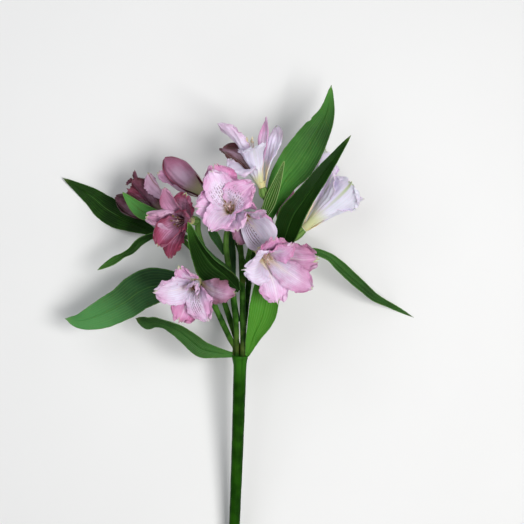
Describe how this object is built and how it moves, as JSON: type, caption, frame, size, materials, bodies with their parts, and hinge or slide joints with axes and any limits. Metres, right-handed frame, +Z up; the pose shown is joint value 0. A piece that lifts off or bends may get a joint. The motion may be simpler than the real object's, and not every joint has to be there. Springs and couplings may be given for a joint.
{
  "type": "alstroemeria flower stem",
  "caption": "Cut stem of alstroemeria lying on its back: a whorl of long leaves, and stalks with open trumpet blooms and closed buds.",
  "frame": {"origin": "middle of the part's outline seen from above, at the height of the lowest points, on the surface that the stem lies on", "axes": "+Y along the stem from its cut end to the flower head, +Z up, the way the blooms face, +X to the right seen from above"},
  "size_m": [0.2268, 0.36, 0.1009],
  "materials": {
    "stem": "smooth waxy green",
    "stalk": "smooth light green",
    "leaf": "satin green with long veins",
    "tepal_pink": "soft satin pink and white, striped",
    "tepal_rose": "soft satin deep rose",
    "stamen": "dull cream and brown"
  },
  "bodies": {
    "root": {"stem": "stem", "ray_a": "stalk", "ray_b": "stalk", "ray_c": "stalk", "ray_e": "stalk", "ray_f": "stalk", "ray_h": "stalk", "tepals_a": "tepal_pink", "tepals_b": "tepal_pink", "tepals_c": "tepal_pink", "tepals_d": "tepal_pink", "tepals_e": "tepal_pink", "tepals_f": "tepal_rose", "tepals_g": "tepal_rose", "tepals_h": "tepal_pink", "tepals_i": "tepal_rose", "tepals_j": "tepal_rose", "tepals_k": "tepal_rose", "stamens_a": "stamen", "stamens_b": "stamen", "stamens_c": "stamen", "stamens_d": "stamen", "stamens_e": "stamen", "stamens_f": "stamen", "stamens_h": "stamen", "leaf_top_broad": "leaf", "leaf_right_dark": "leaf", "leaf_centre_narrow": "leaf", "leaf_right_drooping": "leaf", "leaf_left_dark": "leaf", "leaf_left_curled": "leaf", "leaf_left_big": "leaf", "leaf_left_low": "leaf", "leaf_centre_rolled": "leaf", "leaf_right_of_stem": "leaf", "leaf_left_small": "leaf", "leaf_behind_narrow": "leaf", "leaf_bract": "leaf"}
  },
  "joints": []
}
